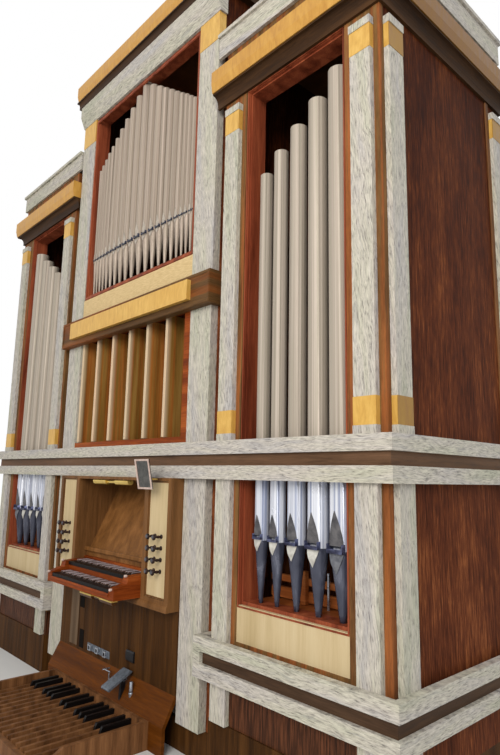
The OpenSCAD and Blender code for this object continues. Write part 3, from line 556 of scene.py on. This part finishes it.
def bar(name, low, high, ease=2.0):
    """A board or bar between two corners, its edges eased."""
    piece = add("cube", name, [(a + b) / 2 for a, b in zip(low, high)], size=1.0)
    piece.scale = [abs(b - a) * MM for a, b in zip(low, high)]
    settle(piece)
    open_up(piece, "EDGE")
    bpy.ops.mesh.bevel(offset=ease * MM, segments=2, affect="EDGES")
    close_up()
    return piece


def moulded_frame(name, middle, width, height, rail, depth, lean=0.0):
    """A frame round an opening, facing the front: its rail steps up to a narrower fillet."""
    rail_share, fillet_inset = 0.6, 0.22
    piece = add("plane", name, middle, turn=(math.pi / 2 + lean, 0, 0), size=1.0)
    piece.scale = (width * MM, height * MM, 1.0)
    settle(piece)
    forward = Vector((0, -math.cos(lean), -math.sin(lean))) * depth * MM
    open_up(piece)
    bpy.ops.mesh.inset(thickness=rail * MM, use_even_offset=True)
    bpy.ops.mesh.delete(type="FACE")
    bpy.ops.mesh.select_all(action="SELECT")
    bpy.ops.mesh.extrude_region_move(TRANSFORM_OT_translate={"value": forward * rail_share})
    bpy.ops.mesh.inset(thickness=rail * MM * fillet_inset, use_even_offset=True, use_boundary=True)
    bpy.ops.mesh.extrude_region_move(TRANSFORM_OT_translate={"value": forward * (1 - rail_share)})
    close_up()
    return piece


def bead(name, x, y, width, foot, head, rail, depth):
    """Moulded frame round an opening that runs between two heights, its back at y."""
    return moulded_frame(name, (x, y, (foot + head) / 2), width, head - foot, rail, depth)


def turned(name, middle, radius, length, direction="Y", ease=1.0, sides=24):
    """A short round piece along Y or Z, its rims eased."""
    turn = (math.pi / 2, 0, 0) if direction == "Y" else (0, 0, 0)
    piece = add("cylinder", name, middle, turn=turn, radius=radius * MM, depth=length * MM, vertices=sides)
    settle(piece)
    along = Vector((0, 1, 0)) if direction == "Y" else Vector((0, 0, 1))
    open_up(piece, "FACE", False)
    pick_faces(piece, lambda face: abs(face.normal.dot(along)) > 0.9)
    bpy.ops.mesh.bevel(offset=ease * MM, segments=2, affect="EDGES")
    close_up(40)
    return piece


def joined(name, parts):
    """One piece made of one or more."""
    only(parts[0])
    if len(parts) > 1:
        for part in parts:
            part.select_set(True)
        bpy.ops.object.join()
    piece = bpy.context.object
    piece.name = piece.data.name = name
    return piece


def twin(piece, name):
    """The same piece on the other side of the middle, with a mesh of its own."""
    only(piece)
    bpy.ops.object.duplicate()
    other = bpy.context.object
    other.name = other.data.name = name
    other.scale.x = -1
    settle(other)
    open_up(other)
    close_up()
    return other


def hand_over(piece, body, slot, *finishes):
    """Gives a piece its finishes and the body that it rides on; slot is not used."""
    piece.data.materials.clear()
    for finish in finishes:
        piece.data.materials.append(finish)
    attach(piece, body)


# Pipes: each ROW goes from the inner pipe outward and gives places, as shares of OPEN_W or POST_IN,
# and radii. Each list of PIPES has both sides, as (place on X, radius, height of the mouth).
TOWER_HALF = 575                  # half width of a tower
OPEN_SHIFT = 11                   # how far a tower's opening lies inward of the tower's middle
TOWER_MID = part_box("side_walls")[1][0] / MM - TOWER_HALF - OPEN_SHIFT
TOWER_Y = 128                     # depth of the pipes' axes
TOWER_TOE = 893
TOWER_MOUTH = TOWER_TOE + 329
MOUTH_FALL = 3                    # each mouth outward is this much lower
TOWER_ROW = ((-0.3514, 38.5), (-0.1932, 42), (-0.0122, 48), (0.1784, 53), (0.3757, 59))
TOWER_PIPES = [(side * (TOWER_MID + share * OPEN_W), radius, TOWER_MOUTH - MOUTH_FALL * i)
               for side in (1, -1) for i, (share, radius) in enumerate(TOWER_ROW)]
FLAT_Y = 97
FLAT_TOE = 2985
FLAT_MOUTH = FLAT_TOE + 308
FLAT_ROW = ((0, 38), (0.1284, 35.5), (0.25, 33), (0.3608, 31), (0.4649, 29), (0.5635, 27),
            (0.6514, 24.5), (0.727, 22.5), (0.796, 21), (0.8622, 19), (0.9203, 17.5))
FLAT_PIPES = [(side * share * POST_IN, radius, FLAT_MOUTH)
              for side in (1, -1) for share, radius in FLAT_ROW if side > 0 or share > 0]

# front of a pipe, in shares of its radius, as in the CAD model
MOUTH_H = 0.36                    # height of the mouth
LIP_D = 0.29                      # depth of the flattened lips
UPPER_L = 2.7                     # length of the upper lip
LOWER_L = 1.6                     # length of the flattening under the mouth
FOOT_TAPER = 0.74                 # what the foot loses from the mouth down to the toe
LIP_HALF = 0.7                    # half width of a lip at the mouth
BEARD_LOW, BEARD_HIGH = -0.2, 0.56                # the beard's reach below and above the mouth's foot


def dressed_pipes(node, name, pipes, line, finishes):
    """Copy of a row of pipes with smooth walls and beards of their own metal; line is its depth."""
    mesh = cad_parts[node].data.copy()
    piece = bpy.data.objects.new(name, mesh)
    bpy.context.scene.collection.objects.link(piece)
    open_up(piece)
    bpy.ops.mesh.remove_doubles(threshold=0.00001)
    bpy.ops.object.mode_set(mode="OBJECT")
    bpy.ops.object.shade_smooth_by_angle(angle=math.radians(34))
    hand_over(piece, "case", "pipe_metal", *finishes)
    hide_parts(node)
    for face in mesh.polygons:
        x, z, n = face.center.x / MM, face.center.z / MM, face.normal
        depth = (face.center.y + DEPTH_SHIFT) / MM
        place, radius, mouth = min(pipes, key=lambda pipe: abs(pipe[0] - x))
        in_front = depth < line - radius * 0.4
        square_on = max(abs(n.x), abs(n.y), abs(n.z)) > 0.999
        at_mouth = BEARD_LOW * radius < z - mouth < BEARD_HIGH * radius
        face.material_index = int(in_front and square_on and at_mouth)


# pointed lips: plates of one outline, laid on the flattened metal above and below each mouth
PLATE_T = 2.4                     # thickness of a plate
UPPER_OUT, LOWER_OUT = 1.9, 1.4   # how far the middle of a plate stands before the pipe's metal
LIP_STEPS = 7                     # straight lengths of its curved edge
LIP_POINT = 0.6                   # half width of a plate's point


def pointed_plate(name, x, rows):
    """Plate narrowing to a point; rows are (half width, depth, height) from the mouth to the point."""
    half, y, z = rows[0]
    plate = add("plane", name, (x, y, z), size=1.0)
    plate.scale = (2 * half * MM, PLATE_T * MM, 1.0)
    settle(plate)
    open_up(plate)
    for (old, y0, z0), (new, y1, z1) in zip(rows, rows[1:]):
        step = (0, (y1 - y0) * MM, (z1 - z0) * MM)
        bpy.ops.mesh.extrude_region_move(TRANSFORM_OT_translate={"value": step})
        bpy.ops.transform.resize(value=(new / old, 1, 1), center_override=spot(x, y1, z1))
    close_up(30)
    return plate


def make_lips(pipes, line, toe, lower_reach):
    """Upper and lower lips for a row of pipes, given the depth of its axes and the height of its toes."""
    upper, lower = [], []
    shares = [step / LIP_STEPS for step in range(LIP_STEPS + 1)]
    for x, r, mouth in pipes:
        outline = [max(LIP_HALF * r * (1 - share ** 1.7), LIP_POINT) for share in shares]
        top = mouth + MOUTH_H * r
        rows = []
        for half, share in zip(outline, shares):
            flattened = r * (1 - LIP_D + LIP_D * share)
            rows.append((half, line - flattened - UPPER_OUT, top + UPPER_L * r * share))
        upper.append(pointed_plate("upper_lip", x, rows))
        rows = []
        for half, share in zip(outline, shares):
            fall = lower_reach * r * share
            cone = r * (1 - FOOT_TAPER * fall / (mouth - toe))
            flattened = r * (1 - LIP_D + LIP_D * fall / (LOWER_L * r))
            rows.append((half, line - min(flattened, cone) - LOWER_OUT, mouth - 2 - fall))
        lower.append(pointed_plate("lower_lip", x, rows))
    return upper, lower


def make_all_lips():
    """Lips of all pipes; the lower lip of each tower's outer pipe is as grey as its foot."""
    upper, lower = make_lips(TOWER_PIPES[:len(TOWER_ROW)], TOWER_Y, TOWER_TOE, 1.7)
    grey = lower.pop()
    for word, parts, metal in (("upper", upper, lip_dark), ("lower", lower, lip_bright),
                               ("low_corner", [grey], foot_grey)):
        right = joined("tower_lips_%s_right" % word, parts)
        for piece in (right, twin(right, "tower_lips_%s_left" % word)):
            hand_over(piece, "case", "pipe_metal", metal)
    upper, lower = make_lips(FLAT_PIPES, FLAT_Y, FLAT_TOE, 1.5)
    hand_over(joined("flat_upper_lip", upper), "case", "pipe_metal", flat_lip)
    hand_over(joined("flat_lower_lip", lower), "case", "pipe_metal", flat_lip)


def make_case_trim():
    """Beads and fillets on the case, a little smaller than the openings that they line."""
    opening = bead("tower_bead_right", TOWER_MID, 79, OPEN_W - 2, 860, OPEN_HIGH, 15, 22)
    for piece in (opening, twin(opening, "tower_bead_left")):
        hand_over(piece, "case", "red_wood", red_upright)
    flat = bead("flat_bead", 0, 59, 2 * POST_IN - 4, 2950.5, 4579.5, 24, 10)
    hand_over(flat, "case", "red_wood", red_upright)
    beam = bead("beam_bead", 0, -3, 1966, BEAM_LOW + 2, BEAM_HIGH - 2, 20, 5)
    hand_over(beam, "case", "brown_wood", brown_level)
    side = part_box("side_walls")[1][0] / MM
    front, rear, proud = 1168, 1204, 9
    battens = [bar("side_batten", (side, front, low), (side + proud, rear, high), 2.0)
               for low, high in ((690, 1519), (1736, 3855))]
    batten = joined("side_batten_right", battens)
    for piece in (batten, twin(batten, "side_batten_left")):
        hand_over(piece, "case", "brown_wood", brown_upright)


def make_racks():
    """Boards and uprights seen between the feet of the tower pipes."""
    reach = OPEN_W / 2 - LINING_T
    low, high = TOWER_MID - reach, TOWER_MID + reach
    face, post_w, post_d, post_top = 290, 32, 28, 1060
    boards = [bar("rack_rail", (low, face, 985), (high, face + 28, 1020), 3.0),
              bar("rack_board", (low, face, 900), (high, face + 30, 955), 3.0)]
    for x in (1490, 1285, 1880):
        boards.append(bar("rack_post", (x, face - post_d, TOWER_TOE), (x + post_w, face, post_top), 3.0))
    boards.append(bar("rack_floor", (low, 192, TOWER_TOE - 25), (high, face + 40, TOWER_TOE - 1), 2.0))
    rack = joined("tower_rack_right", boards)
    tube = turned("rack_tube_right", (1668, 272, 980), 7, 176, "Z")
    for piece in (rack, twin(rack, "tower_rack_left")):
        hand_over(piece, "case", "brown_wood", rack_wood)
    for piece in (tube, twin(tube, "rack_tube_left")):
        hand_over(piece, "case", "grey_metal", steel)


def make_console_trim():
    """Grey discs on the drawknobs' faces, partly their label faces and partly a painted highlight, buttons
    on the key cheeks, and beads round the jambs.
    """
    first_row, row_rise, knob_face = LEDGE_Z - 27, 67, -92
    for side, word in ((1, "right"), (-1, "left")):
        for row in range(4):
            for column, x in (("inner", JAMB_MID - 25), ("outer", JAMB_MID + 40)):
                middle = (side * x, knob_face, first_row + row_rise * row)
                disc = turned("stop_face_%s_%s_%d" % (word, column, row + 1), middle, 10.5, 3)
                hand_over(disc, "case", "bone", grey_face_highlight)
        for level, y, z in (("lower", -231, 862), ("upper", -133, 931)):
            button = turned("cheek_button_%s_%s" % (level, word), (side * 425, y, z), 8, 18, ease=2.5)
            hand_over(button, "case", "bone", pale_button)
        panel = bead("jamb_bead_" + word, side * JAMB_MID, -27, 208, 819, BELT_LOW - 21, 8, 5)
        hand_over(panel, "case", "brown_wood", niche_finish)


def make_knee_fittings():
    """Slots as thin near-black plates of painted shade, a board and studs on the kneeboards, and the steel
    guide beside the swell pedal.
    """
    for word, low, high in (("lower", (-436, 38, 320), (-372, 41, 442)),
                            ("upper", (-455, 38, 588), (-389, 41, 699))):
        slot = bar("knee_slot_" + word, low, high, 1.0)
        hand_over(slot, "case", "grey_metal", slot_shadow)
    board = bar("knee_board_left", (-583, 36, 322), (-465, 41, 706), 2.0)
    hand_over(board, "case", "brown_wood", knee_pale)
    plate = bar("piston_plate", (-305, 35, 330), (-3, 41, 376), 1.5)
    hand_over(plate, "case", "grey_metal", grey_metal)
    first, pitch, half, middle_z = -256, 102, 19, 353
    rim, hollow_depth = 6, 3
    for i in range(3):
        x = first + pitch * i
        low, high = (x - half, 20, middle_z - half), (x + half, 36, middle_z + half)
        stud = bar("piston_%d" % (i + 1), low, high, 2.0)
        open_up(stud, "FACE", False)
        pick_faces(stud, lambda face: face.normal.y < -0.99 and face.area > 0.0005)
        bpy.ops.mesh.inset(thickness=rim * MM)
        bpy.ops.mesh.extrude_region_move(TRANSFORM_OT_translate={"value": (0, hollow_depth * MM, 0)})
        bpy.ops.object.mode_set(mode="OBJECT")
        hollow = [face.index for face in stud.data.polygons if face.select]
        open_up(stud)
        close_up()
        hand_over(stud, "case", "grey_metal", steel, black_metal)
        for index in hollow:
            stud.data.polygons[index].material_index = 1
    guide = joined("swell_guide", [turned("guide_tube", (344, -4, 245), 11, 88, "Z"),
                                   turned("guide_collar", (344, -4, 222), 14, 12, "Z", 2.0)])
    hand_over(guide, "case", "grey_metal", steel)


def make_bent_lever():
    """Round rod out of the kneeboard, turned to the right and then down."""
    start, reach, run, drop, bend = (18, 46, 285), 66, 64, 34, 12
    rod = add("circle", "coupler_lever", start, turn=(math.pi / 2, 0, 0), radius=4 * MM, vertices=14,
              fill_type="NGON")
    settle(rod)
    open_up(rod)
    bpy.ops.mesh.extrude_region_move(TRANSFORM_OT_translate={"value": (0, -reach * MM, 0)})
    corner = spot(start[0] + bend, start[1] - reach, start[2])
    bpy.ops.mesh.spin(steps=6, angle=math.pi / 2, center=corner, axis=(0, 0, 1))
    bpy.ops.mesh.extrude_region_move(TRANSFORM_OT_translate={"value": (run * MM, 0, 0)})
    corner = spot(start[0] + bend + run, start[1] - reach - bend, start[2] - bend)
    bpy.ops.mesh.spin(steps=6, angle=math.pi / 2, center=corner, axis=(0, 1, 0))
    bpy.ops.mesh.extrude_region_move(TRANSFORM_OT_translate={"value": (0, 0, -drop * MM)})
    close_up(40)
    hand_over(rod, "case", "grey_metal", steel)


def make_mirror_frame():
    """Pale wooden frame on the glass, leaning forward with it."""
    lean = math.radians(12)
    arm = Vector((JAMB_MID - 17, -111, BELT_LOW + 2.3))
    glass = arm + Vector((0, -24, 20))
    up = Vector((0, -math.sin(lean), math.cos(lean)))
    out = Vector((0, -math.cos(lean), -math.sin(lean)))
    rim = moulded_frame("mirror_frame", glass - up + out * 3.4, 152, 182, 11, 6, lean)
    hand_over(rim, "mirror", "bone", pale_button)


dressed_pipes("tower_pipes", "tower_pipes_planished", TOWER_PIPES, TOWER_Y, (tower_metal, beard_metal))
dressed_pipes("flat_pipes", "flat_pipes_planished", FLAT_PIPES, FLAT_Y, (flat_metal, dark_beard))
make_all_lips()
make_case_trim()
make_racks()
make_console_trim()
make_knee_fittings()
make_bent_lever()
make_mirror_frame()


# camera, fitted to the straight edges of the case: place in metres, angles in degrees
CAMERA_PLACE = (3.607, -2.4465, 1.538)
CAMERA_PAN, CAMERA_TILT, CAMERA_ROLL = 47.295, 9.729, 1.109
FOCAL_LENGTH = 41.67              # in millimetres, for a picture 36 mm wide


def make_camera():
    """The place that the picture was taken from: right of the organ, looking up a little."""
    lens = bpy.data.cameras.new("viewpoint")
    lens.sensor_fit = "HORIZONTAL"
    lens.sensor_width = 36.0
    lens.lens = FOCAL_LENGTH
    lens.clip_end = 200.0
    viewpoint = bpy.data.objects.new("viewpoint", lens)
    bpy.context.scene.collection.objects.link(viewpoint)
    turn = Matrix.Rotation(math.radians(CAMERA_PAN), 4, "Z")
    tilt = Matrix.Rotation(math.radians(90 + CAMERA_TILT), 4, "X")
    roll = Matrix.Rotation(math.radians(CAMERA_ROLL), 4, "Z")
    viewpoint.matrix_world = Matrix.Translation(CAMERA_PLACE) @ turn @ tilt @ roll
    bpy.context.scene.camera = viewpoint


# floor and light
def make_floor():
    """Pale floor just under the plinths, which fades to white far away."""
    fade_from, fade_to = 4.0, 16.0
    bpy.ops.mesh.primitive_plane_add(size=120.0, location=(0, 0, -0.5 * MM))
    floor = bpy.context.object
    floor.name = "studio_floor"
    finish, tree, bsdf = new_finish("studio_floor")
    feed(tree, bsdf, Base_Color=paint(226, 226, 224), Roughness=0.85, Specular_IOR_Level=0.1)
    white = put(tree, "Emission", {"Color": (1, 1, 1, 1), "Strength": 1.0})
    where = put(tree, "TexCoord").outputs["Object"]
    far = put(tree, "VectorMath", {0: where}, operation="LENGTH").outputs["Value"]
    seen = put(tree, "LightPath").outputs["Is Camera Ray"]
    share = sums(tree, "MULTIPLY", steps(tree, far, fade_from, fade_to), seen)
    mix = put(tree, "MixShader", {0: share, 1: bsdf.outputs[0], 2: white.outputs[0]})
    tree.links.new(mix.outputs[0], tree.nodes["Material Output"].inputs["Surface"])
    floor.data.materials.append(finish)


def make_world(strength):
    """Plain white surroundings, dimmed as a light but full white to the eye, in gloss and through glass."""
    world = bpy.data.worlds.new("studio")
    bpy.context.scene.world = world
    world.use_nodes = True
    tree = world.node_tree
    dim = tree.nodes["Background"]
    dim.inputs["Color"].default_value = (1, 1, 1, 1)
    dim.inputs["Strength"].default_value = strength
    full = put(tree, "Background", {"Color": (1, 1, 1, 1), "Strength": 1.0})
    path = put(tree, "LightPath").outputs
    seen = sums(tree, "MAXIMUM", sums(tree, "MAXIMUM", path["Is Camera Ray"], path["Is Glossy Ray"]),
                path["Is Transmission Ray"])
    mix = put(tree, "MixShader", {0: seen, 1: dim.outputs[0], 2: full.outputs[0]})
    tree.links.new(mix.outputs[0], tree.nodes["World Output"].inputs["Surface"])


def add_lamp(name, place, aim, size, watts, tint):
    """A square lamp of a size in metres, aimed at a point."""
    lamp = bpy.data.lights.new(name, "AREA")
    lamp.shape = "SQUARE"
    lamp.size = size
    lamp.energy = watts
    lamp.color = tint
    stand = bpy.data.objects.new(name, lamp)
    bpy.context.scene.collection.objects.link(stand)
    look = Vector(aim) - Vector(place)
    stand.matrix_world = Matrix.Translation(place) @ look.to_track_quat("-Z", "Y").to_matrix().to_4x4()


make_camera()
make_floor()
make_world(0.55)
add_lamp("front_lamp", (5.2, -7.6, 5.0), (0.2, 0.0, 2.2), 4.5, 600.0, (1.0, 0.965, 0.91))
add_lamp("side_lamp", (9.0, -1.0, 4.5), (2.0, 0.3, 2.2), 4.0, 42.0, (0.72, 0.86, 1.0))
bpy.context.scene.view_settings.view_transform = "Standard"
